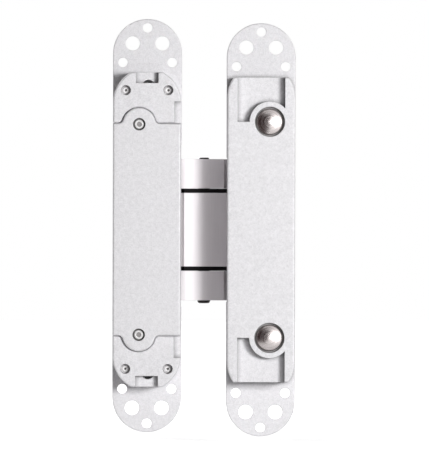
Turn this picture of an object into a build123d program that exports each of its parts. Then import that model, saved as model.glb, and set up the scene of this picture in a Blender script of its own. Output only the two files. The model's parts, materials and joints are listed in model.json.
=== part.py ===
from build123d import *
import math
import os

# Concealed door hinge with crossing arms, fully open, with the backs of both leaves towards -Y.
# The frame leaf is centred on X = 0 and the door leaf stands beside it, towards +X.
# The origin is the middle of the frame leaf's screw pattern, on the rear face of its plate, its seat.
# +Z runs along the pins. +Y points out of the mortises, to the side that the arms swing on.

# Leaves
leaf_width = 30.0
leaf_length = 180.0
leaf_gap = 19.5
plate_thickness = 3.0
plate_edge_chamfer = 0.4
body_inset = 0.25
body_seat_depth = 0.08
wall_thickness = 1.5

# Screw and peg holes in each end of a plate, placed from the plate's end and centre line
screw_hole_radius = 3.1
screw_sink_radius = 5.4
screw_sink_depth = 2.3
screw_from_end = 10.6
screw_spacing = 12.9
peg_hole_radius = 2.1
top_peg_from_end = 3.8
side_peg_from_end = 18.9
side_peg_spacing = 21.5

# Height setting: the frame plate stands this far above the middle of the arms, out of a range both ways
height_setting = 1.7
height_travel = 2.0
side_travel = 1.5

# Linkage, with depths counted from the plates' front faces and offsets from the knuckle's plane
closed_gap = 5.0
pivot_depth = 8.5
pivot_pin_radius = 1.8
pivot_eye_radius = 3.25
knuckle_rise = 6.5
knuckle_pin_radius = 2.5
knuckle_eye_radius = 4.1
crown_wall = 1.4
arch_edge_rise = 0.5
arch_corner_radius = 1.05
arm_lip_width = 1.3
arm_lip_radius = 1.6
slide_offset = 22.5
slide_depth = 7.5
slide_pin_radius = 1.75
slide_eye_radius = 2.85
glide_radius = 2.5

# Arm heights, counted from the middle of the arms
fork_link_height = 12.8
spacer_thickness = 1.85
spacer_inset = 0.3
pin_dome_height = 0.7
pin_dome_radius = 2.2
pin_head_height = 1.3
pin_head_radius = 2.8
pin_end_rounding = 0.8
bush_wall = 0.5
bush_length = 6.0

# Clearances
running_clearance = 0.05
fixed_clearance = 0.02
face_clearance = 0.1
part_clearance = 0.3
swing_clearance = 0.35
arm_end_clearance = 0.6
cap_gap = 0.15

# Frame body
slot_back_wall = 0.7
cover_thickness = 3.0
frame_from_plate_end = 21.8
frame_end_cut = 1.65
cap_length = 22.2
end_block_length = 14.6
cap_step = 2.4
base_thickness = 8.0
lobe_radius = 7.2
lobe_offset = 3.4
lobe_set_back = 0.4
lobe_blend_radius = 2.0
notch_width = 9.8
notch_length = 4.7
notch_depth = 4.5
notch_bore_radius = 2.7
notch_bore_offset = 0.5
notch_bore_set_back = 1.3
side_step_width = 3.0
side_step_length = 9.4
side_step_depth = 5.0
back_edge_radius = 0.7

# Frame fasteners
clamp_spacing = 18.4
clamp_from_end = 7.8
clamp_radius = 2.0
clamp_head_radius = 3.3
clamp_head_height = 1.5
clamp_end_recess = 3.4
clamp_end_chamfer = 0.8
clamp_centre_radius = 0.5
clamp_centre_depth = 0.8
cover_screw_radius = 1.5
cover_screw_length = 10.0
cover_head_radius = 2.05
cover_head_gap = 0.6
cover_head_height = 1.0
cover_head_recess = 1.5
cover_head_chamfer = 0.3
cover_hex_radius = 1.2
cover_hex_depth = 0.6
clamp_hex_radius = 1.5
clamp_hex_depth = 1.0

# Slot liners
liner_wall = 1.0
liner_depth = 5.0
liner_floor = 0.6
guide_block_height = 6.0
slot_steps = 8

# Door body
door_from_plate_end = 23.9
door_end_cut = 6.1
door_back_wall = 2.2
door_pocket_width = 20.6
door_pocket_depth = 6.2
boss_radius = 8.8
well_radius = 6.5
well_depth = 3.0
carriage_web = 1.2
carriage_lead = 0.5

# Side adjusting screws
side_screw_offset = 3.7
side_screw_from_end = 19.3
side_screw_radius = 4.0
side_screw_nose_radius = 3.0
side_screw_dome_radius = 5.65
side_screw_dome_height = 2.8
side_screw_dome_rim = 0.8
side_screw_hex = 3.0
ear_half_width = 7.0
ear_half_height = 6.1
ear_depth = 12.0
ear_set_back = 2.0
clip_radius = 4.6
clip_thickness = 0.7
clip_groove_depth = 0.4

# Derived places
knuckle_x = (leaf_width + leaf_gap) / 2
door_x = leaf_width + leaf_gap
arm_middle_z = -height_setting
body_half_width = leaf_width / 2 - body_inset
pocket_half_width = body_half_width - wall_thickness
frame_half_length = leaf_length / 2 - frame_from_plate_end
cover_half_length = frame_half_length - cap_length
clamp_height = frame_half_length - clamp_from_end
lobe_height = cover_half_length - lobe_set_back
door_half_length = leaf_length / 2 - door_from_plate_end
side_screw_height = door_half_length - side_screw_from_end
pivot_offset = leaf_gap / 2 + body_inset + wall_thickness + swing_clearance + pivot_eye_radius
throat_half_width = pivot_offset - pivot_eye_radius
pocket_half_height = cover_half_length - end_block_length
fork_outer_height = pocket_half_height - arm_end_clearance
fork_inner_height = fork_outer_height - fork_link_height
middle_half_height = fork_inner_height - face_clearance - spacer_thickness
lobe_x = -lobe_offset
side_screw_x = door_x + side_screw_offset
guide_half_height = pocket_half_height + guide_block_height
slot_half_width = glide_radius + running_clearance
liner_half_width = slot_half_width + liner_wall
far = 2 * leaf_length


def turned(point, angle):
    """A point turned about the origin, counter-clockwise."""
    x, y = point
    return (x * math.cos(angle) - y * math.sin(angle), x * math.sin(angle) + y * math.cos(angle))


def plus(a, b):
    return (a[0] + b[0], a[1] + b[1])


def minus(a, b):
    return (a[0] - b[0], a[1] - b[1])


# Linkage points with the hinge open, seen from above, with X from the knuckle's plane and Y from the seat
pivot = (-pivot_offset, plate_thickness - pivot_depth)
knuckle = (0.0, plate_thickness + knuckle_rise)
slide = (-slide_offset, plate_thickness - slide_depth)
arm_reach = math.dist(pivot, knuckle)
closed_rise = plate_thickness + closed_gap / 2 - pivot[1]
open_angle = math.atan2(knuckle[1] - pivot[1], knuckle[0] - pivot[0])
closed_angle = math.pi - math.asin(closed_rise / arm_reach)
arm_turn = closed_angle - open_angle
arm_share = arm_turn / math.pi


def slide_place(door_angle):
    """Where the far end of the crossing arm is in the frame leaf, and its direction of travel."""
    centre = plus(pivot, turned(minus(knuckle, pivot), arm_share * door_angle))
    place = plus(centre, turned(minus(slide, knuckle), (1 - arm_share) * door_angle))
    swing = minus(centre, pivot)
    sweep = minus(place, centre)
    travel = (
        -arm_share * swing[1] - (1 - arm_share) * sweep[1],
        arm_share * swing[0] + (1 - arm_share) * sweep[0],
    )
    return place, travel


# Depths behind the seat, which follow from how far back the arms' far ends travel
tub_back_y = slide_place(math.pi)[0][1] - liner_half_width - slot_back_wall
cover_back_y = tub_back_y - cover_thickness
cap_back_y = cover_back_y + cap_step
carriage_back_y = tub_back_y - part_clearance
door_floor_y = carriage_back_y - side_travel - part_clearance
door_back_y = door_floor_y - door_back_wall


def block(outline, y_front, y_back):
    """An outline in X and Z carried from y_front back to y_back."""
    return extrude(Plane.XZ.offset(-y_front) * outline, y_front - y_back)


def slab(outline, z_low, z_high):
    """An outline in X and Y carried from z_low up to z_high."""
    return extrude(Plane.XY.offset(z_low) * outline, z_high - z_low)


def brick(x_range, y_range, z_range):
    sizes = [high - low for low, high in (x_range, y_range, z_range)]
    middle = [(low + high) / 2 for low, high in (x_range, y_range, z_range)]
    return Pos(*middle) * Box(*sizes)


def rod_y(x, z, radius, y_front, y_back):
    return block(Pos(x, z) * Circle(radius), y_front, y_back)


def rod_z(x, y, radius, z_low, z_high):
    return slab(Pos(x, y) * Circle(radius), z_low, z_high)


def both_ends(shape):
    """A shape above the middle of the arms, and its mirror image below."""
    return [shape, mirror(shape, Plane.XY.offset(arm_middle_z))]


def group(*shapes):
    return Compound(children=[solid for shape in shapes for solid in shape.solids()])


# Plates
def plate_outline(centre_x, centre_z):
    return Pos(centre_x, centre_z) * Rot(0, 0, 90) * SlotOverall(leaf_length, leaf_width)


def plate_holes(centre_x, centre_z):
    """Countersunk screw holes and plain peg holes in both ends of a plate."""
    cuts = []
    for end in (-1, 1):
        screw_z = centre_z + end * (leaf_length / 2 - screw_from_end)
        peg_z = centre_z + end * (leaf_length / 2 - side_peg_from_end)
        top_z = centre_z + end * (leaf_length / 2 - top_peg_from_end)
        cuts.append(rod_y(centre_x, top_z, peg_hole_radius, far, -far))
        for side in (-1, 1):
            screw_x = centre_x + side * screw_spacing / 2
            cuts.append(rod_y(screw_x, screw_z, screw_hole_radius, far, -far))
            sink = Cone(screw_hole_radius, screw_sink_radius, screw_sink_depth)
            place = Plane((screw_x, plate_thickness - screw_sink_depth / 2, screw_z), z_dir=(0, 1, 0))
            cuts.append(place * sink)
            cuts.append(rod_y(centre_x + side * side_peg_spacing / 2, peg_z, peg_hole_radius, far, -far))
    return cuts


def plate_blank(centre_x, centre_z):
    """A plate with both rims broken, the rear one just as far as the body's walls."""
    blank = block(plate_outline(centre_x, centre_z), plate_thickness, 0)
    blank = chamfer(blank.faces().sort_by(Axis.Y)[-1].edges(), plate_edge_chamfer)
    return chamfer(blank.faces().sort_by(Axis.Y)[0].edges(), body_inset)


def make_frame_plate():
    plate = plate_blank(0, 0) - plate_holes(0, 0)
    window_half = fork_outer_height + pin_head_height + height_travel + 2 * arm_end_clearance
    window = brick((-pocket_half_width, far), (-far, far), (-window_half, window_half))
    slots = []
    slot_reach = 2 * height_travel
    for side in (-1, 1):
        for end in (-1, 1):
            place = Pos(side * clamp_spacing / 2, end * clamp_height) * Rot(0, 0, 90)
            shank_slot = SlotCenterToCenter(slot_reach, 2 * (clamp_radius + face_clearance))
            head_slot = SlotCenterToCenter(slot_reach, 2 * (clamp_head_radius + part_clearance))
            head_seat = plate_thickness - clamp_head_height - face_clearance
            slots.append(block(place * shank_slot, far, -far))
            slots.append(block(place * head_slot, far, head_seat))
    seat_radius = leaf_width / 2 + running_clearance
    seat_half_length = frame_half_length + height_travel + seat_radius - body_half_width
    seat = round_ended(seat_radius, seat_half_length, frame_end_cut)
    return plate - window - slots - block(seat, body_seat_depth, -far)


# Frame body
def round_ended(radius, half_length, end_cut):
    """A long outline with round ends, each with its tip cut off flat."""
    whole = Rot(0, 0, 90) * SlotOverall(2 * (half_length + end_cut), 2 * radius)
    return whole & Rectangle(2 * radius, 2 * half_length)


def frame_outline():
    return Pos(0, arm_middle_z) * round_ended(body_half_width, frame_half_length, frame_end_cut)


def lobed_outline(grow, blend):
    """The cover's outline: a long rectangle with a round lobe at each end, blended at its foot."""
    outline = Rectangle(2 * body_half_width, 2 * (cover_half_length + grow))
    outline += [Pos(lobe_x, end * lobe_height) * Circle(lobe_radius + grow) for end in (-1, 1)]
    feet = [v for v in outline.vertices() if abs(v.X) < body_half_width - grow]
    return Pos(0, arm_middle_z) * fillet(feet, blend)


def clamp_places():
    heights = [arm_middle_z + end * clamp_height for end in (-1, 1)]
    return [(side * clamp_spacing / 2, height) for side in (-1, 1) for height in heights]


def cover_screw_places():
    return [(lobe_x, arm_middle_z + end * lobe_height) for end in (-1, 1)]


def slot_outline(leaf_side, half_width):
    """The curved guide slot, traced by a circle that follows the arm's far end as the door swings."""
    angles = [math.pi * step / slot_steps for step in range(slot_steps + 1)]
    left, right = [], []
    for angle in angles:
        place, travel = slide_place(angle)
        scale = half_width / math.hypot(*travel)
        left.append(plus(place, (-travel[1] * scale, travel[0] * scale)))
        right.append(plus(place, (travel[1] * scale, -travel[0] * scale)))
    first, first_travel = slide_place(angles[0])
    last, last_travel = slide_place(angles[-1])
    first_tip = minus(first, [half_width * part / math.hypot(*first_travel) for part in first_travel])
    last_tip = plus(last, [half_width * part / math.hypot(*last_travel) for part in last_travel])
    edges = [
        Spline(left),
        ThreePointArc(left[-1], last_tip, right[-1]),
        Spline(right[::-1]),
        ThreePointArc(right[0], first_tip, left[0]),
    ]
    outline = make_face(edges)
    if leaf_side > 0:
        outline = mirror(outline, Plane.YZ)
    return Pos(knuckle_x, 0) * outline


def liner_recess(leaf_side):
    low = arm_middle_z + pocket_half_height
    return both_ends(slab(slot_outline(leaf_side, liner_half_width), low, low + liner_depth))


def make_slot_liners(leaf_side):
    low = arm_middle_z + pocket_half_height
    shell = slab(slot_outline(leaf_side, liner_half_width), low, low + liner_depth)
    channel = slab(slot_outline(leaf_side, slot_half_width), low, low + liner_depth - liner_floor)
    return group(*both_ends(shell - channel))


def make_frame_housing():
    base = block(frame_outline(), body_seat_depth, -base_thickness)
    tub = block(lobed_outline(0, lobe_blend_radius), 0, tub_back_y)
    pocket_z = (arm_middle_z - pocket_half_height, arm_middle_z + pocket_half_height)
    pocket = brick((-pocket_half_width, pocket_half_width), (-far, far), pocket_z)
    throat = brick((0, knuckle_x), (0, far), pocket_z)
    bore = rod_z(pivot_x(-1), pivot[1], pivot_pin_radius + fixed_clearance, -far, far)
    clamp_holes = [rod_y(x, z, clamp_radius + part_clearance, far, -far) for x, z in clamp_places()]
    tapped = [
        rod_y(x, z, cover_screw_radius + fixed_clearance, tub_back_y + cover_screw_length, -far)
        for x, z in cover_screw_places()
    ]
    return base + tub - pocket - throat - bore - liner_recess(-1) - clamp_holes - tapped


def make_frame_back_cover():
    cover = block(lobed_outline(0, lobe_blend_radius), tub_back_y, cover_back_y)
    cover = fillet(cover.faces().sort_by(Axis.Y)[0].edges(), back_edge_radius)
    for x, z in cover_screw_places():
        head_floor = cover_back_y + cover_head_recess + cover_head_height
        cover -= rod_y(x, z, cover_screw_radius + part_clearance, far, -far)
        cover -= rod_y(x, z, cover_head_radius + cover_head_gap, head_floor, -far)
    return cover


def make_frame_cap():
    """The upper end cap, which the clamp screws draw against the housing's base."""
    reach = cover_half_length + cap_gap
    upper = Pos(0, arm_middle_z + leaf_length / 2) * Rectangle(leaf_width, leaf_length)
    outline = (frame_outline() & upper) - lobed_outline(cap_gap, lobe_blend_radius - cap_gap)
    cap = block(outline, -base_thickness, cap_back_y)
    cap = fillet(cap.faces().sort_by(Axis.Y)[0].edges(), back_edge_radius)
    notch_z = arm_middle_z + frame_half_length - notch_length
    notch_floor = cap_back_y + notch_depth
    cap -= brick((-notch_width / 2, notch_width / 2), (-far, notch_floor), (notch_z, far))
    cap -= rod_y(notch_bore_offset, notch_z - notch_bore_set_back, notch_bore_radius, 0, notch_floor)
    step_z = arm_middle_z + reach + side_step_length
    step_x = body_half_width - side_step_width
    cap -= brick((step_x, far), (-far, cap_back_y + side_step_depth), (-far, step_z))
    for x, z in clamp_places():
        cap -= rod_y(x, z, clamp_radius + face_clearance, far, -far)
    return cap


def make_clamp_screws():
    """Screws that hold the height: heads in the plate's slots, and ends that show in the caps."""
    head_back = plate_thickness - clamp_head_height - face_clearance
    end_y = cap_back_y + clamp_end_recess
    screws = []
    for x, z in clamp_places():
        screw = rod_y(x, z, clamp_head_radius, head_back + clamp_head_height, head_back)
        screw += rod_y(x, z, clamp_radius, head_back, end_y)
        screw = chamfer(screw.faces().sort_by(Axis.Y)[0].edges(), clamp_end_chamfer)
        screw -= rod_y(x, z, clamp_centre_radius, end_y + clamp_centre_depth, -far)
        hex_cut = Pos(x, z) * RegularPolygon(clamp_hex_radius, 6)
        screws.append(screw - block(hex_cut, far, head_back + clamp_head_height - clamp_hex_depth))
    return group(*screws)


def make_cover_screws():
    head_back = cover_back_y + cover_head_recess
    head_front = head_back + cover_head_height
    screws = []
    for x, z in cover_screw_places():
        head = rod_y(x, z, cover_head_radius, head_front, head_back)
        head = chamfer(head.faces().sort_by(Axis.Y)[0].edges(), cover_head_chamfer)
        shank = rod_y(x, z, cover_screw_radius, head_front + cover_screw_length - cover_thickness, head_front)
        hex_cut = Pos(x, z) * RegularPolygon(cover_hex_radius, 6)
        screws.append(head + shank - block(hex_cut, head_back + cover_hex_depth, -far))
    return group(*screws)


# Arms
def arm_outline(inset):
    """A crescent arm with its pivot eye at -X, its knuckle eye on the plane X = 0 and its slide eye at +X."""
    crown_radius = pivot_offset + pivot_eye_radius
    crown_top = knuckle[1] + knuckle_eye_radius
    slide_eye = (slide_offset, slide[1])
    crown_centre = crown_top - crown_radius
    crown = Pos(0, crown_centre) * Circle(crown_radius - inset)
    crown &= Pos(0, crown_centre + crown_radius) * Rectangle(2 * crown_radius, 2 * crown_radius)
    eye = Pos(*pivot) * Circle(pivot_eye_radius - inset)
    toe = Pos(*slide_eye) * Circle(slide_eye_radius - inset)
    hull = make_hull([*crown.edges(), *eye.edges(), *toe.edges()])

    arch_top = knuckle[1] - knuckle_pin_radius - crown_wall
    arch_edge = plate_thickness + arch_edge_rise
    rise = arch_top - arch_edge
    arch_radius = (rise**2 + (leaf_gap / 2) ** 2) / (2 * rise)
    arch = Pos(0, arch_top - arch_radius) * Circle(arch_radius + inset)
    throat = Rectangle(2 * (throat_half_width + inset), 2 * arch_radius + leaf_gap)
    opening = Pos(0, arch_top - arch_radius) * throat
    belly = arch & opening
    belly = fillet(belly.vertices().sort_by(Axis.Y)[-2:], arch_corner_radius)

    pin_relief = pivot_pin_radius + 2 * part_clearance + inset
    relief = Pos(-pivot[0], pivot[1]) * Circle(pin_relief)
    low_relief = Pos(-pivot[0], pivot[1] - leaf_width) * Circle(pin_relief)
    lip_x = leaf_gap / 2 + body_inset - arm_lip_width
    lip = Pos(lip_x + arm_lip_radius, arch_edge) * Circle(arm_lip_radius + inset)
    under = make_hull([*relief.edges(), *low_relief.edges(), *lip.edges()])

    below_eye = Pos(pivot[0], pivot[1] - leaf_width / 2) * Rectangle(leaf_width, leaf_width)
    below_toe = Pos(slide_eye[0], slide_eye[1] - leaf_width / 2) * Rectangle(leaf_width, leaf_width)
    return hull - belly - under - below_eye - below_toe + eye + toe


def arm_solid(outline, z_low, z_high, is_fork, hole_radii):
    """An arm's slab with its three bores: pivot, knuckle and slide."""
    shape = slab(outline, arm_middle_z + z_low, arm_middle_z + z_high)
    for (x, y), radius in zip((pivot, knuckle, (slide_offset, slide[1])), hole_radii):
        shape -= rod_z(x, y, radius, -far, far)
    if not is_fork:
        shape = mirror(shape, Plane.YZ)
    return Pos(knuckle_x, 0, 0) * shape


def bush_radius(pin_radius):
    return pin_radius + running_clearance + bush_wall


def make_fork_link():
    holes = [bush_radius(pivot_pin_radius), knuckle_pin_radius, slide_pin_radius]
    holes = [radius + fixed_clearance for radius in holes]
    return arm_solid(arm_outline(0), fork_inner_height, fork_outer_height, True, holes)


def make_middle_link():
    holes = [bush_radius(pivot_pin_radius), bush_radius(knuckle_pin_radius), slide_pin_radius]
    holes = [radius + fixed_clearance for radius in holes]
    return arm_solid(arm_outline(0), -middle_half_height, middle_half_height, False, holes)


def make_spacer():
    holes = [radius + face_clearance for radius in (pivot_pin_radius, knuckle_pin_radius, slide_pin_radius)]
    outline = arm_outline(spacer_inset)
    return arm_solid(outline, middle_half_height, middle_half_height + spacer_thickness, False, holes)


def make_knuckle_pin():
    top = arm_middle_z + fork_outer_height
    bottom = arm_middle_z - fork_outer_height
    shank = rod_z(knuckle_x, knuckle[1], knuckle_pin_radius, bottom, top)
    tip = rod_z(knuckle_x, knuckle[1], pin_dome_radius, top, top + pin_dome_height)
    tip = fillet(tip.faces().sort_by(Axis.Z)[-1].edges(), pin_dome_height * pin_end_rounding)
    head = rod_z(knuckle_x, knuckle[1], pin_head_radius, bottom - pin_head_height, bottom)
    head = fillet(head.faces().sort_by(Axis.Z)[0].edges(), pin_head_height * pin_end_rounding)
    return shank + tip + head


def make_bushes(x, y, pin_radius, z_low, z_high):
    """A pair of plain bearing bushes, between two heights above the middle of the arms and below it."""
    ends = (arm_middle_z + z_low, arm_middle_z + z_high)
    bush = rod_z(x, y, bush_radius(pin_radius), *ends) - rod_z(x, y, pin_radius + running_clearance, *ends)
    return group(*both_ends(bush))


def make_knuckle_bushes():
    ends = (middle_half_height - bush_length, middle_half_height)
    return make_bushes(knuckle_x, knuckle[1], knuckle_pin_radius, *ends)


def make_fork_bushes():
    return make_bushes(pivot_x(-1), pivot[1], pivot_pin_radius, fork_inner_height, fork_outer_height)


def make_middle_bushes():
    ends = (middle_half_height - bush_length, middle_half_height)
    return make_bushes(pivot_x(1), pivot[1], pivot_pin_radius, *ends)


def pivot_x(leaf_side):
    return knuckle_x + leaf_side * pivot_offset


def slide_pin_x(leaf_side):
    return knuckle_x + leaf_side * slide_offset


def make_slide_pin(leaf_side):
    reach = pocket_half_height + liner_depth - liner_floor - part_clearance
    ends = (arm_middle_z - reach, arm_middle_z + reach)
    return rod_z(slide_pin_x(leaf_side), slide[1], slide_pin_radius, *ends)


def make_glides(leaf_side):
    low = arm_middle_z + pocket_half_height + face_clearance
    high = arm_middle_z + pocket_half_height + liner_depth - liner_floor - part_clearance
    glide = rod_z(slide_pin_x(leaf_side), slide[1], glide_radius, low, high)
    glide -= rod_z(slide_pin_x(leaf_side), slide[1], slide_pin_radius + fixed_clearance, -far, far)
    return group(*both_ends(glide))


def make_pivot_pin(leaf_side):
    reach = guide_half_height - part_clearance
    return rod_z(pivot_x(leaf_side), pivot[1], pivot_pin_radius, arm_middle_z - reach, arm_middle_z + reach)


# Door body
def door_outline():
    return Pos(door_x, arm_middle_z) * round_ended(body_half_width, door_half_length, door_end_cut)


def ear_range(grow):
    return (side_screw_x - ear_half_width - grow, side_screw_x + ear_half_width + grow)


def make_door_housing():
    housing = block(door_outline(), 0, door_back_y)
    housing = fillet(housing.faces().sort_by(Axis.Y)[0].edges(), back_edge_radius)
    housing += plate_blank(door_x, arm_middle_z)
    housing -= plate_holes(door_x, arm_middle_z)
    inside = (door_x - pocket_half_width, door_x + pocket_half_width)
    deep_z = guide_half_height + part_clearance
    housing -= brick(inside, (door_floor_y, far), (arm_middle_z - deep_z, arm_middle_z + deep_z))
    throat_z = (arm_middle_z - pocket_half_height, arm_middle_z + pocket_half_height)
    housing -= brick((knuckle_x, door_x), (0, far), throat_z)
    ear_top = arm_middle_z + side_screw_height + ear_half_height + part_clearance
    ear_z = (arm_middle_z + pocket_half_height, ear_top)
    ear_y = (-ear_depth - side_travel - part_clearance, 0)
    for cavity in both_ends(brick(ear_range(part_clearance), ear_y, ear_z)):
        housing -= cavity
    for cut in both_ends(back_pocket()) + both_ends(side_screw_bore()):
        housing -= cut
    return housing


def back_pocket():
    """The open-ended recess in the back of the housing, which leaves a round boss about the side screw."""
    low = arm_middle_z + side_screw_height
    recess = Pos(door_x, low + leaf_width / 2) * Rectangle(door_pocket_width, leaf_width)
    recess -= Pos(side_screw_x, low) * Circle(boss_radius)
    return block(recess, door_back_y + door_pocket_depth, -far)


def side_screw_bore():
    z = arm_middle_z + side_screw_height
    bore = rod_y(side_screw_x, z, side_screw_radius + running_clearance, 0, -far)
    bore += rod_y(side_screw_x, z, well_radius, door_back_y + well_depth, -far)
    bore += rod_y(side_screw_x, z, side_screw_nose_radius + running_clearance, far, 0)
    return bore + rod_y(side_screw_x, z, clip_radius + part_clearance, far, clip_seat_y())


def clip_seat_y():
    return plate_thickness - 2 * clip_thickness


def make_door_carriage():
    """The sliding block that carries the door's pivot pin and guide slots, moved by the side screws."""
    half_width = pocket_half_width - swing_clearance
    inside = (door_x - half_width, door_x + half_width)
    guide_z = (arm_middle_z + pocket_half_height, arm_middle_z + guide_half_height)
    ear_z = (guide_z[1], arm_middle_z + side_screw_height + ear_half_height)
    guide = brick(inside, (carriage_back_y, carriage_lead), guide_z)
    ear = brick(ear_range(0), (-ear_depth, -ear_set_back), ear_z)
    screw_z = arm_middle_z + side_screw_height
    ear -= rod_y(side_screw_x, screw_z, side_screw_radius + running_clearance, far, -far)
    web_z = (arm_middle_z - pocket_half_height, arm_middle_z + pocket_half_height)
    web = brick(inside, (carriage_back_y, carriage_back_y + carriage_web), web_z)
    bore = rod_z(pivot_x(1), pivot[1], pivot_pin_radius + fixed_clearance, -far, far)
    return web + both_ends(guide + ear) - bore - liner_recess(1)


def make_side_screw():
    """The upper side screw: a domed rear head in its well, a threaded shank, and a nose with a hex socket."""
    shoulder_y = -running_clearance
    nose_y = plate_thickness - clip_thickness / 2
    seat_y = door_back_y + well_depth
    rim = seat_y - side_screw_dome_rim
    tip = seat_y - side_screw_dome_height
    groove = side_screw_nose_radius - clip_groove_depth
    groove_back = clip_seat_y()
    groove_front = groove_back + clip_thickness + face_clearance
    dome_rise = rim - tip
    dome_sphere = (side_screw_dome_radius**2 + dome_rise**2) / (2 * dome_rise)
    half_angle = math.asin(side_screw_dome_radius / dome_sphere) / 2
    bulge = (dome_sphere * math.sin(half_angle), tip + dome_sphere * (1 - math.cos(half_angle)))
    profile = [
        Line((0, nose_y), (side_screw_nose_radius, nose_y)),
        Polyline(
            (side_screw_nose_radius, nose_y),
            (side_screw_nose_radius, groove_front),
            (groove, groove_front),
            (groove, groove_back),
            (side_screw_nose_radius, groove_back),
            (side_screw_nose_radius, shoulder_y),
            (side_screw_radius, shoulder_y),
            (side_screw_radius, seat_y),
            (side_screw_dome_radius, seat_y),
            (side_screw_dome_radius, rim),
        ),
        ThreePointArc((side_screw_dome_radius, rim), bulge, (0, tip)),
        Line((0, tip), (0, nose_y)),
    ]
    screw = revolve(make_face(profile), Axis.Y)
    hex_cut = RegularPolygon(side_screw_hex / 2, 6, major_radius=False)
    screw -= block(hex_cut, far, groove_back)
    return Pos(side_screw_x, 0, arm_middle_z + side_screw_height) * screw


def make_screw_clip():
    """The spring clip that holds the side screw's nose in the plate."""
    z = arm_middle_z + side_screw_height
    front = clip_seat_y() + clip_thickness
    clip = rod_y(side_screw_x, z, clip_radius, front, clip_seat_y())
    groove = side_screw_nose_radius - clip_groove_depth + fixed_clearance
    clip -= rod_y(side_screw_x, z, groove, far, -far)
    return clip - brick((side_screw_x - groove / 2, side_screw_x + groove / 2), (-far, far), (z, far))


def upper_and_lower(name, shape):
    upper, lower = both_ends(shape)
    return {name.format("upper"): upper, name.format("lower"): lower}


def make_parts():
    parts = {
        "frame_plate": make_frame_plate(),
        "frame_housing": make_frame_housing(),
        "frame_back_cover": make_frame_back_cover(),
        "clamp_screws": make_clamp_screws(),
        "cover_screws": make_cover_screws(),
        "frame_pivot_pin": make_pivot_pin(-1),
        "frame_slot_liners": make_slot_liners(-1),
        "fork_pivot_bushes": make_fork_bushes(),
        "knuckle_pin": make_knuckle_pin(),
        "fork_slide_pin": make_slide_pin(1),
        "fork_glides": make_glides(1),
        "middle_link": make_middle_link(),
        "knuckle_bushes": make_knuckle_bushes(),
        "middle_pivot_bushes": make_middle_bushes(),
        "middle_slide_pin": make_slide_pin(-1),
        "middle_glides": make_glides(-1),
        "door_carriage": make_door_carriage(),
        "door_pivot_pin": make_pivot_pin(1),
        "door_slot_liners": make_slot_liners(1),
        "door_housing": make_door_housing(),
    }
    parts |= upper_and_lower("frame_{}_cap", make_frame_cap())
    parts |= upper_and_lower("fork_{}_link", make_fork_link())
    parts |= upper_and_lower("{}_spacer", make_spacer())
    parts |= upper_and_lower("{}_side_screw", make_side_screw())
    parts |= upper_and_lower("{}_screw_clip", make_screw_clip())
    return parts


os.makedirs("parts", exist_ok=True)
for name, shape in make_parts().items():
    export_step(shape, f"parts/{name}.step")
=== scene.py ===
import json
import math

import bmesh
import bpy
import numpy as np
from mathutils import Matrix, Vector


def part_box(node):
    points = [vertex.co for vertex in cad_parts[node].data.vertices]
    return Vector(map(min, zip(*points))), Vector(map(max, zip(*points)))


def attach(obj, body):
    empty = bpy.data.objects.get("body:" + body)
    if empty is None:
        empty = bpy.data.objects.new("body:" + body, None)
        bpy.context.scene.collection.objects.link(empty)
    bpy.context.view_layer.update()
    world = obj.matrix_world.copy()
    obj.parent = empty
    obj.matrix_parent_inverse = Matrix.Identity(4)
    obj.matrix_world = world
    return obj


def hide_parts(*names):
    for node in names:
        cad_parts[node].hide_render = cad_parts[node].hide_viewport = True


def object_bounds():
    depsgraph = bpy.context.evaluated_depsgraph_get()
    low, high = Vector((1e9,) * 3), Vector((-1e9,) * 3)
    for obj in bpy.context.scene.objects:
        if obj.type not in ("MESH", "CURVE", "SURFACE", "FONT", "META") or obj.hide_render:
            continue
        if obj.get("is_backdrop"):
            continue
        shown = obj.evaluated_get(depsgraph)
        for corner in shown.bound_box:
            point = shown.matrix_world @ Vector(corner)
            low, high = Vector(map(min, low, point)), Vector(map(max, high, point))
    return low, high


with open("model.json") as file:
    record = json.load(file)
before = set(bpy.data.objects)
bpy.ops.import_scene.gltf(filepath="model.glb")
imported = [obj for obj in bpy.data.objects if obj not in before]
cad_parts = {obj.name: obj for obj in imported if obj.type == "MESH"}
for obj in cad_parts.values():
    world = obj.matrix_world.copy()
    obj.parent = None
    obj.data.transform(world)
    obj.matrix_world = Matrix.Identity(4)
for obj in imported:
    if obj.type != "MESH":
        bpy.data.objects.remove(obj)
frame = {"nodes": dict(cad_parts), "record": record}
cadLow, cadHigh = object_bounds()
nodes = frame["nodes"]
scene = bpy.context.scene
mm = 0.001
white = (1, 1, 1, 1)


# shader helpers
evenly = (1, 1, 1)  # no stretch along any axis
noiseMiddle = (0.3, 0.7)  # where most of a noise's values lie
fineNoise = (3.0, 0.65)  # detail and roughness of a noise
lineNoise = (3.0, 0.6)
softNoise = (2.0, 0.5)
firstColour, secondColour, mixedColour = 6, 7, 2  # a colour mix's sockets, whose names repeat
edgeSamples = 6
# samples for the painted shade in inner corners
paintedShadeSamples = 8


def newSurface(name):
    # an empty material with its principled shader, ready for textures
    surface = bpy.data.materials.new(name)
    surface.use_nodes = True
    tree = surface.node_tree
    shader = tree.nodes["Principled BSDF"]
    return surface, tree, shader


def addNode(tree, kind, **settings):
    node = tree.nodes.new(kind)
    for key, value in settings.items():
        if key in node.inputs:
            node.inputs[key].default_value = value
        else:
            setattr(node, key, value)
    return node


def objectPlaces(tree):
    return addNode(tree, "ShaderNodeTexCoord").outputs["Object"]


def stretchedPlaces(tree, stretch):
    # object coordinates, squeezed along each axis so that a pattern can run in one direction
    mapping = addNode(tree, "ShaderNodeMapping", Scale=stretch)
    tree.links.new(objectPlaces(tree), mapping.inputs["Vector"])
    return mapping.outputs["Vector"]


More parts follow.
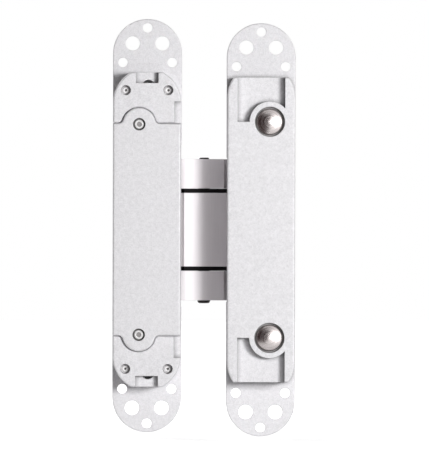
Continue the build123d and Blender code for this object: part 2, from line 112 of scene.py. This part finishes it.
def noise(tree, places, size, detail, rough):
    # cloudy noise whose patches are about size metres across
    made = addNode(tree, "ShaderNodeTexNoise", Scale=1 / size, Detail=detail, Roughness=rough)
    tree.links.new(places, made.inputs["Vector"])
    return made.outputs["Fac"]


def bandNoise(tree, distance, size, detail, rough):
    # noise along one distance only, in bands about size metres wide
    made = addNode(tree, "ShaderNodeTexNoise", noise_dimensions="1D", Scale=1 / size,
                   Detail=detail, Roughness=rough)
    tree.links.new(distance, made.inputs["W"])
    return made.outputs["Fac"]


def calculated(tree, operation, first, second):
    # one step of arithmetic, whose second value may be a plain number
    made = addNode(tree, "ShaderNodeMath", operation=operation)
    tree.links.new(first, made.inputs[0])
    if isinstance(second, float):
        made.inputs[1].default_value = second
    else:
        tree.links.new(second, made.inputs[1])
    return made.outputs[0]


def carried(tree, value, source, target):
    # a value carried from one range onto another, and held at its ends
    made = addNode(tree, "ShaderNodeMapRange")
    made.inputs["From Min"].default_value, made.inputs["From Max"].default_value = source
    made.inputs["To Min"].default_value, made.inputs["To Max"].default_value = target
    tree.links.new(value, made.inputs["Value"])
    return made.outputs["Result"]


def ramp(tree, value, limits, lowColour, highColour):
    made = addNode(tree, "ShaderNodeValToRGB")
    start, end = made.color_ramp.elements
    start.position, end.position = limits
    start.color = (*lowColour, 1)
    end.color = (*highColour, 1)
    tree.links.new(value, made.inputs["Fac"])
    return made.outputs["Color"]


def scaled(colour, factor):
    return tuple(channel * factor for channel in colour)


def tinted(tree, value, settings):
    # a finish's colour, from darker to lighter by its tint as a noise rises
    dark = scaled(settings["colour"], 1 - settings["tint"])
    light = scaled(settings["colour"], 1 + settings["tint"])
    return ramp(tree, value, noiseMiddle, dark, light)


def dress(tree, shader, colour, height, settings):
    # a colour, a roughness that follows a height, and relief from it over edges broken to a small radius
    rounded = addNode(tree, "ShaderNodeBevel", samples=edgeSamples, Radius=settings["edge"])
    relief = addNode(tree, "ShaderNodeBump", Strength=1.0, Distance=settings["depth"])
    roughness = carried(tree, height, noiseMiddle, settings["roughness"])
    tree.links.new(colour, shader.inputs["Base Color"])
    tree.links.new(roughness, shader.inputs["Roughness"])
    tree.links.new(height, relief.inputs["Height"])
    tree.links.new(rounded.outputs["Normal"], relief.inputs["Normal"])
    tree.links.new(relief.outputs["Normal"], shader.inputs["Normal"])
    shader.inputs["Metallic"].default_value = settings["metallic"]


def reachFromAxes(tree, centre, offset):
    # distance from the nearest of the lines along Y that lie at offset on both sides of a centre
    fromMiddle = addNode(tree, "ShaderNodeMapping", Location=(-centre.x, 0, -centre.z), Scale=(1, 0, 1))
    folded = addNode(tree, "ShaderNodeVectorMath", operation="ABSOLUTE")
    fromAxis = addNode(tree, "ShaderNodeMapping", Location=(-offset[0], 0, -offset[1]))
    reach = addNode(tree, "ShaderNodeVectorMath", operation="LENGTH")
    tree.links.new(objectPlaces(tree), fromMiddle.inputs["Vector"])
    tree.links.new(fromMiddle.outputs["Vector"], folded.inputs[0])
    tree.links.new(folded.outputs["Vector"], fromAxis.inputs["Vector"])
    tree.links.new(fromAxis.outputs["Vector"], reach.inputs[0])
    return reach.outputs["Value"]


# painted shade: a dark colour inside the bores round the screws and in the small screws' sockets;
# each goes with a group of screws, whose outer radius gives their axes, and reaches a depth from a face
sideScrewNodes = ["upper_side_screw", "lower_side_screw"]
shadedBorePlaces = {
    "frame": {
        "face": "frame_back_cover",
        "groups": [
            {"screws": ["clamp_screws"], "outer": 3.3 * mm, "radius": 2.13 * mm, "depth": 4.0 * mm,
             "colour": (0.24, 0.225, 0.225)},
            {"screws": ["cover_screws"], "outer": 2.05 * mm, "radius": 2.68 * mm, "depth": 3.0 * mm,
             "colour": (0.20, 0.19, 0.19)},
        ],
    },
    "door": {
        "face": "door_housing",
        "groups": [
            {"screws": sideScrewNodes, "outer": 5.65 * mm, "radius": 6.53 * mm, "depth": 4.0 * mm,
             "colour": (0.42, 0.40, 0.40)},
        ],
    },
    "shadedSockets": {
        "face": "frame_back_cover",
        "groups": [
            {"screws": ["clamp_screws"], "outer": 3.3 * mm, "radius": 0.52 * mm, "depth": 10.0 * mm,
             "colour": (0.10, 0.09, 0.09)},
            {"screws": ["cover_screws"], "outer": 2.05 * mm, "radius": 1.06 * mm, "depth": 10.0 * mm,
             "colour": (0.30, 0.285, 0.285)},
        ],
    },
}


def boxAround(nodeNames):
    boxes = [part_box(node) for node in nodeNames]
    low = Vector([min(box[0][axis] for box in boxes) for axis in range(3)])
    high = Vector([max(box[1][axis] for box in boxes) for axis in range(3)])
    return low, high


def paintedBoreShadeShare(tree, shadeGroup, faceY):
    # 1 inside a group's bores, as far in as the painted shade reaches, and 0 elsewhere
    low, high = boxAround(shadeGroup["screws"])
    half = (high - low) / 2
    offset = (half.x - shadeGroup["outer"], half.z - shadeGroup["outer"])
    reach = reachFromAxes(tree, (low + high) / 2, offset)
    apart = addNode(tree, "ShaderNodeSeparateXYZ")
    tree.links.new(objectPlaces(tree), apart.inputs[0])
    inside = calculated(tree, "LESS_THAN", reach, shadeGroup["radius"])
    shallow = calculated(tree, "LESS_THAN", apart.outputs["Y"], faceY + shadeGroup["depth"])
    return calculated(tree, "MULTIPLY", inside, shallow)


def withPaintedBoreShade(tree, colour, place):
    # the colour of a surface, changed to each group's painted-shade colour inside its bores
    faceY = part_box(shadedBorePlaces[place]["face"])[0][1]
    for shadeGroup in shadedBorePlaces[place]["groups"]:
        made = addNode(tree, "ShaderNodeMix", data_type="RGBA")
        tree.links.new(paintedBoreShadeShare(tree, shadeGroup, faceY), made.inputs["Factor"])
        tree.links.new(colour, made.inputs[firstColour])
        made.inputs[secondColour].default_value = (*shadeGroup["colour"], 1)
        colour = made.outputs[mixedColour]
    return colour


def withPaintedCornerShade(tree, colour, reach, shade):
    # painted shade: the colour, darkened toward a piece's own inner corners as ambient occlusion finds
    # them
    corner = addNode(tree, "ShaderNodeAmbientOcclusion", samples=paintedShadeSamples, only_local=True,
                     Distance=reach)
    made = addNode(tree, "ShaderNodeMix", data_type="RGBA", Factor=shade)
    tree.links.new(colour, corner.inputs["Color"])
    tree.links.new(colour, made.inputs[firstColour])
    tree.links.new(corner.outputs["Color"], made.inputs[secondColour])
    return made.outputs[mixedColour]


# fine-grained satin silver paint of the plates, bodies, caps and cover
silverPaint = {
    "colour": (0.785, 0.775, 0.795),
    "grain": 0.55 * mm,
    "blotch": 1.6 * mm,
    "blotchShare": 0.35,
    "tint": 0.15,
    "metallic": 0.12,
    "roughness": (0.40, 0.54),
    "depth": 0.02 * mm,
    "edge": 0.45 * mm,
    # reach and share of the painted shade in inner corners, used only where a place is given
    "paintedCornerReach": 2.2 * mm,
    "paintedCornerShade": 0.9,
}
# plain die casting of the sliding carriage
plainCasting = {
    "colour": (0.62, 0.62, 0.63),
    "grain": 0.9 * mm,
    "blotch": 3.0 * mm,
    "blotchShare": 0.35,
    "tint": 0.09,
    "metallic": 0.6,
    "roughness": (0.40, 0.55),
    "depth": 0.04 * mm,
    "edge": 0.3 * mm,
}


def makeGrainedFinish(name, settings, place=None):
    # paint or casting with fine grain over larger blotches; a place adds painted shade in its bores and
    # inner corners
    surface, tree, shader = newSurface(name)
    places = stretchedPlaces(tree, evenly)
    grain = noise(tree, places, settings["grain"], *fineNoise)
    blotch = noise(tree, places, settings["blotch"], *softNoise)
    mottle = addNode(tree, "ShaderNodeMix", data_type="FLOAT", Factor=settings["blotchShare"])
    tree.links.new(grain, mottle.inputs["A"])
    tree.links.new(blotch, mottle.inputs["B"])
    colour = tinted(tree, mottle.outputs["Result"], settings)
    if place is not None:
        colour = withPaintedBoreShade(tree, colour, place)
        colour = withPaintedCornerShade(tree, colour, settings["paintedCornerReach"], settings["paintedCornerShade"])
    dress(tree, shader, colour, grain, settings)
    return surface


# satin metal of the arms, drawn along the pins
armMetal = {
    "colour": (0.79, 0.755, 0.77),
    "line": 0.25 * mm,
    "stretch": (1.0, 1.0, 0.02),
    "tint": 0.03,
    "metallic": 0.185,
    "roughness": (0.41, 0.47),
    "depth": 0.0006 * mm,
    "edge": 0.25 * mm,
}
# dark ground steel of the pivot, knuckle and slide pins
pinSteel = {
    "colour": (0.03, 0.026, 0.026),
    "line": 0.3 * mm,
    "stretch": (1.0, 1.0, 0.05),
    "tint": 0.06,
    "metallic": 1.0,
    "roughness": (0.24, 0.36),
    "depth": 0.008 * mm,
    "edge": 0.2 * mm,
}
# plated steel of the clamp and cover screws
screwSteel = {
    "colour": (0.88, 0.87, 0.87),
    "line": 0.4 * mm,
    "stretch": (1.0, 0.3, 1.0),
    "tint": 0.10,
    "metallic": 0.2,
    "roughness": (0.28, 0.42),
    "depth": 0.01 * mm,
    "edge": 0.25 * mm,
}
# tempered steel of the screws' clips
springSteel = {
    "colour": (0.10, 0.10, 0.105),
    "line": 0.3 * mm,
    "stretch": evenly,
    "tint": 0.15,
    "metallic": 1.0,
    "roughness": (0.3, 0.45),
    "depth": 0.006 * mm,
    "edge": 0.1 * mm,
}
# bearing bronze of the bushes
bronze = {
    "colour": (0.50, 0.36, 0.19),
    "line": 0.35 * mm,
    "stretch": (1.0, 1.0, 0.2),
    "tint": 0.12,
    "metallic": 1.0,
    "roughness": (0.3, 0.45),
    "depth": 0.01 * mm,
    "edge": 0.1 * mm,
}


def makeDrawnMetal(name, settings, place=None):
    surface, tree, shader = newSurface(name)
    places = stretchedPlaces(tree, settings["stretch"])
    lines = noise(tree, places, settings["line"], *lineNoise)
    colour = tinted(tree, lines, settings)
    # a place adds painted shade inside the recesses it lists
    if place is not None:
        colour = withPaintedBoreShade(tree, colour, place)
    dress(tree, shader, colour, lines, settings)
    return surface


# polished steel of the side screws, with turning rings about each screw's axis
turnedSteel = {
    "colour": (0.54, 0.497, 0.49),
    "ring": 0.5 * mm,
    "tint": 0.10,
    "metallic": 1.0,
    "roughness": (0.21, 0.30),
    "depth": 0.045 * mm,
    "edge": 0.2 * mm,
}


def makeTurnedSteel(name, settings):
    surface, tree, shader = newSurface(name)
    low, high = boxAround(sideScrewNodes)
    half = (high - low) / 2
    reach = reachFromAxes(tree, (low + high) / 2, (0, half.z - half.x))
    rings = bandNoise(tree, reach, settings["ring"], *softNoise)
    dress(tree, shader, tinted(tree, rings, settings), rings, settings)
    return surface


# matt black moulded plastic of the spacers, liners and glides
blackPlastic = {
    "colour": (0.0025, 0.002, 0.0022),
    "lightest": 1.5,
    "grain": 0.25 * mm,
    "grainLimits": (0.35, 0.7),
    "metallic": 0.0,
    "roughness": (0.5, 0.65),
    "specular": 0.1,
    "depth": 0.006 * mm,
    "edge": 0.1 * mm,
}


def makeBlackPlastic(name, settings):
    surface, tree, shader = newSurface(name)
    grain = noise(tree, stretchedPlaces(tree, evenly), settings["grain"], *softNoise)
    light = scaled(settings["colour"], settings["lightest"])
    colour = ramp(tree, grain, settings["grainLimits"], settings["colour"], light)
    shader.inputs["Specular IOR Level"].default_value = settings["specular"]
    dress(tree, shader, colour, grain, settings)
    return surface


surfaces = {
    "satin_paint": makeGrainedFinish("silverPaint", silverPaint),
    "arm_metal": makeDrawnMetal("armMetal", armMetal),
    "plain_casting": makeGrainedFinish("plainCasting", plainCasting),
    "pin_steel": makeDrawnMetal("pinSteel", pinSteel),
    # the screws' steel takes painted shade in their sockets
    "screw_steel": makeDrawnMetal("screwSteel", screwSteel, "shadedSockets"),
    "polished_steel": makeTurnedSteel("turnedSteel", turnedSteel),
    "spring_steel": makeDrawnMetal("springSteel", springSteel),
    "bronze": makeDrawnMetal("bronze", bronze),
    "black_plastic": makeBlackPlastic("blackPlastic", blackPlastic),
}
# silver paint with painted shade in its bores and inner corners, for the cover, caps and door housing
shadedBoreSurfaces = {
    "frame": makeGrainedFinish("framePaintAndShade", silverPaint, "frame"),
    "door": makeGrainedFinish("doorPaintAndShade", silverPaint, "door"),
}
shadedBoreNodes = {
    "frame_back_cover": "frame",
    "frame_upper_cap": "frame",
    "frame_lower_cap": "frame",
    "door_housing": "door",
}
for subpart in frame["record"]["subparts"]:
    piece = nodes[subpart["node"]]
    surface = surfaces[subpart["material_slot"]]
    if subpart["node"] in shadedBoreNodes:
        surface = shadedBoreSurfaces[shadedBoreNodes[subpart["node"]]]
    piece.data.materials.clear()
    piece.data.materials.append(surface)
print("finishes made:", len(surfaces) + len(shadedBoreSurfaces))


# side screws, turned from bar: a low domed head, a threaded shank, and a grooved nose with a hex socket
sideScrew = {
    "screws": {
        "upperScrew": ("upper_side_screw", "upper_screw"),
        "lowerScrew": ("lower_side_screw", "lower_screw"),
    },
    "headHeight": 2.8 * mm,
    "domeRise": 1.1 * mm,
    "rimBreak": 0.2 * mm,
    "shankRadius": 4.0 * mm,
    "threadPitch": 1.25 * mm,
    "threadDepth": 0.6 * mm,
    "threadRelief": 0.8 * mm,
    "threadSteps": 8,
    "noseRadius": 3.0 * mm,
    "noseLength": 2.75 * mm,
    "noseBreak": 0.15 * mm,
    "groove": (1.05 * mm, 0.3 * mm),  # its two ends, back from the nose's end
    "grooveDepth": 0.4 * mm,
    "socketAcross": 3.0 * mm,
    "socketDepth": 1.05 * mm,
    "domeRings": 28,
    "turnSteps": 96,
    "sharpAngle": 30.0,
    "mergeWithin": 0.0001 * mm,
}


def screwSurface(settings, headRadius, length, turns):
    # a profile carried round the axis: radius and distance from the dome's tip, row by row, at every
    # turn angle; the thread's radius falls with a triangle wave of distance less turn, and the
    # socket's is a hexagon's
    domeEdge = headRadius - settings["rimBreak"]
    sphere = (domeEdge**2 + settings["domeRise"]**2) / (2 * settings["domeRise"])
    tilt = np.linspace(0, math.asin(domeEdge / sphere), settings["domeRings"])
    dome = np.stack([sphere * np.sin(tilt), sphere * (1 - np.cos(tilt))], axis=1)
    root = settings["shankRadius"] - settings["threadDepth"]
    shoulder = length - settings["noseLength"]
    threadStart = settings["headHeight"] + settings["threadRelief"]
    threadEnd = shoulder - settings["threadRelief"]
    nose = settings["noseRadius"]
    grooveFloor = nose - settings["grooveDepth"]
    grooveBack, grooveFront = [length - back for back in settings["groove"]]
    socketFloor = length - settings["socketDepth"]
    rim = [
        (headRadius, settings["domeRise"] + settings["rimBreak"]),
        (headRadius, settings["headHeight"]),
        (root, settings["headHeight"]),
        (root, threadStart),
    ]
    head = np.concatenate([dome, rim])
    tail = np.array([
        (root, threadEnd),
        (root, shoulder),
        (nose, shoulder),
        (nose, grooveBack),
        (grooveFloor, grooveBack),
        (grooveFloor, grooveFront),
        (nose, grooveFront),
        (nose, length - settings["noseBreak"]),
        (nose - settings["noseBreak"], length),
    ])
    thread = np.arange(threadStart, threadEnd, settings["threadPitch"] / settings["threadSteps"])
    wave = thread[:, None] / settings["threadPitch"] - turns / (2 * math.pi)
    threadRadius = settings["shankRadius"] - 2 * settings["threadDepth"] * np.abs(wave - np.round(wave))
    side = math.pi / 3
    hexagon = settings["socketAcross"] / 2 / np.cos((turns + side / 2) % side - side / 2)
    flat = np.ones((1, turns.size))
    socket = [hexagon, hexagon, 0 * turns]
    radius = np.concatenate([head[:, :1] * flat, threadRadius, tail[:, :1] * flat, socket])
    along = np.concatenate([head[:, 1], thread, tail[:, 1], [length, socketFloor, socketFloor]])
    return radius, along[:, None] * flat


def makeSideScrew(name, node, body, settings):
    low, high = [Vector(corner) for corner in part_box(node)]
    axis = (low + high) / 2
    turns = np.linspace(0, 2 * math.pi, settings["turnSteps"], endpoint=False)
    radius, along = screwSurface(settings, (high.x - low.x) / 2, high.y - low.y, turns)
    across = axis.x + radius * np.cos(turns)
    upward = axis.z + radius * np.sin(turns)
    places = np.stack([across, low.y + along, upward], axis=-1)
    index = np.arange(radius.size).reshape(radius.shape)
    around = np.roll(index, -1, axis=1)
    faces = np.stack([index[:-1], around[:-1], around[1:], index[1:]], axis=-1)
    mesh = bpy.data.meshes.new(name)
    mesh.from_pydata(places.reshape(-1, 3).tolist(), [], faces.reshape(-1, 4).tolist())
    work = bmesh.new()
    work.from_mesh(mesh)
    bmesh.ops.remove_doubles(work, verts=work.verts, dist=settings["mergeWithin"])
    bmesh.ops.recalc_face_normals(work, faces=work.faces)
    work.to_mesh(mesh)
    work.free()
    mesh.shade_smooth()
    mesh.set_sharp_from_angle(angle=math.radians(settings["sharpAngle"]))
    piece = bpy.data.objects.new(name, mesh)
    scene.collection.objects.link(piece)
    mesh.materials.append(surfaces["polished_steel"])
    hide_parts(node)
    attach(piece, body)
    return len(mesh.polygons)


for screwName, (screwNode, screwBody) in sideScrew["screws"].items():
    faceCount = makeSideScrew(screwName, screwNode, screwBody, sideScrew)
    print(screwName, "turned with", faceCount, "faces")


# stage: a pale floor, white surroundings and a dark card for reflections; a low key light from the
# right, a weak broad light nearer the lens, and a fill on the plates' fronts
stageSettings = {
    "floorDrop": 0.5 * mm,
    "floorSize": 12.0,
    "floorColour": (0.80, 0.80, 0.80),
    "floorRoughness": 0.9,
    "floorLift": (0.67, 1.0),
    "liftReach": (0.09, 0.26),
    "ambient": 0.025,
    "cardTurn": (-6.0, 66.0),
    "cardSteps": 25,
    "cardReach": (0.14, 1.2),
    "cardTop": 0.8,
    "cardColour": (0.05, 0.012, 0.013),
    "cardRoughness": 1.0,
}
lampSettings = {
    "key": {"place": (0.692, -1.585, 0.10), "size": (0.36, 0.25), "power": 17.8},
    "broad": {"place": (0.295, -1.698, 0.10), "size": (0.55, 0.25), "power": 2.4},
    "fill": {"place": (-0.6, 1.2, 0.65), "size": (0.9, 0.9), "power": 13.0},
}


def seenLevel(tree):
    # 1 on rays that the eye, a mirror or a glass sends out, 0 on rays that only carry light
    path = addNode(tree, "ShaderNodeLightPath").outputs
    mirrored = calculated(tree, "MAXIMUM", path["Is Glossy Ray"], path["Is Transmission Ray"])
    return calculated(tree, "MAXIMUM", path["Is Camera Ray"], mirrored)


def makeFloor(settings):
    # its own light rises with the distance from the hinge, so that the floor runs out to white
    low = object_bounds()[0]
    half = settings["floorSize"] / 2
    corners = np.array([(-half, -half), (half, -half), (half, half), (-half, half)])
    heights = np.full((len(corners), 1), low.z - settings["floorDrop"])
    mesh = bpy.data.meshes.new("floor")
    mesh.from_pydata(np.hstack([corners, heights]).tolist(), [], [(0, 1, 2, 3)])
    floor = bpy.data.objects.new("floor", mesh)
    scene.collection.objects.link(floor)
    surface, tree, shader = newSurface("floorPaper")
    shader.inputs["Base Color"].default_value = (*settings["floorColour"], 1)
    shader.inputs["Roughness"].default_value = settings["floorRoughness"]
    shader.inputs["Emission Color"].default_value = white
    reach = addNode(tree, "ShaderNodeVectorMath", operation="LENGTH")
    tree.links.new(objectPlaces(tree), reach.inputs[0])
    lift = carried(tree, reach.outputs["Value"], settings["liftReach"], settings["floorLift"])
    shown = calculated(tree, "MULTIPLY", lift, seenLevel(tree))
    tree.links.new(shown, shader.inputs["Emission Strength"])
    mesh.materials.append(surface)
    floor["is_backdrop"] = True


def makeShadeCard(settings):
    # a dark card that only reflections meet: its profile runs out along the floor and then straight
    # up, and an arc about the hinge carries it from just right of the lens to well round on the left
    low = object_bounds()[0]
    near, far = settings["cardReach"]
    reach = np.array([near, far, far])[:, None]
    height = np.array([low.z, low.z, settings["cardTop"]])[:, None]
    turns = np.radians(np.linspace(*settings["cardTurn"], settings["cardSteps"]))[None, :]
    places = np.stack([-reach * np.sin(turns), -reach * np.cos(turns), height + 0 * turns], axis=-1)
    index = np.arange(places[..., 0].size).reshape(places.shape[:2])
    faces = np.stack([index[:-1, :-1], index[:-1, 1:], index[1:, 1:], index[1:, :-1]], axis=-1)
    mesh = bpy.data.meshes.new("shadeCard")
    mesh.from_pydata(places.reshape(-1, 3).tolist(), [], faces.reshape(-1, 4).tolist())
    card = bpy.data.objects.new("shadeCard", mesh)
    scene.collection.objects.link(card)
    surface, tree, shader = newSurface("cardFelt")
    shader.inputs["Base Color"].default_value = (*settings["cardColour"], 1)
    shader.inputs["Roughness"].default_value = settings["cardRoughness"]
    mesh.materials.append(surface)
    card.visible_camera = False
    card.visible_diffuse = False
    card.visible_shadow = False
    card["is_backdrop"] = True


def makeSurroundings(settings):
    # white where they are seen, and nearly dark as a light
    world = bpy.data.worlds.new("studio")
    world.use_nodes = True
    scene.world = world
    tree = world.node_tree
    background = tree.nodes["Background"]
    level = carried(tree, seenLevel(tree), (0.0, 1.0), (settings["ambient"], 1.0))
    tree.links.new(level, background.inputs["Strength"])
    background.inputs["Color"].default_value = white


def makeLamp(name, settings):
    # a rectangle of light, turned to the middle of the hinge
    data = bpy.data.lights.new(name, "AREA")
    data.shape = "RECTANGLE"
    data.size, data.size_y = settings["size"]
    data.energy = settings["power"]
    lamp = bpy.data.objects.new(name, data)
    lamp.location = settings["place"]
    target = (Vector(cadLow) + Vector(cadHigh)) / 2
    lamp.rotation_euler = (target - lamp.location).to_track_quat("-Z", "Y").to_euler()
    scene.collection.objects.link(lamp)


makeFloor(stageSettings)
makeShadeCard(stageSettings)
makeSurroundings(stageSettings)
for lampName, lamp in lampSettings.items():
    makeLamp(lampName, lamp)
print("stage set, with", len(lampSettings), "lamps")


# camera, straight behind the hinge, far back with a long lens
cameraSettings = {
    "aim": (29.35 * mm, 0.0, -3.56 * mm),
    "frameHeight": 203.9 * mm,
    "lens": 800.0,
    "sensor": 36.0,
    "roll": -0.15,
    "clip": (0.01, 100.0),  # nearest and farthest, as shares of the distance
}


def makeCamera(settings):
    data = bpy.data.cameras.new("view")
    data.lens = settings["lens"]
    data.sensor_width = settings["sensor"]
    distance = settings["frameHeight"] * settings["lens"] / settings["sensor"]
    data.clip_start, data.clip_end = [distance * share for share in settings["clip"]]
    camera = bpy.data.objects.new("view", data)
    aim = settings["aim"]
    camera.location = (aim[0], aim[1] - distance, aim[2])
    camera.rotation_euler = (math.pi / 2, math.radians(settings["roll"]), 0)
    scene.collection.objects.link(camera)
    scene.camera = camera


makeCamera(cameraSettings)
scene.view_settings.view_transform = "Standard"
print("camera placed")
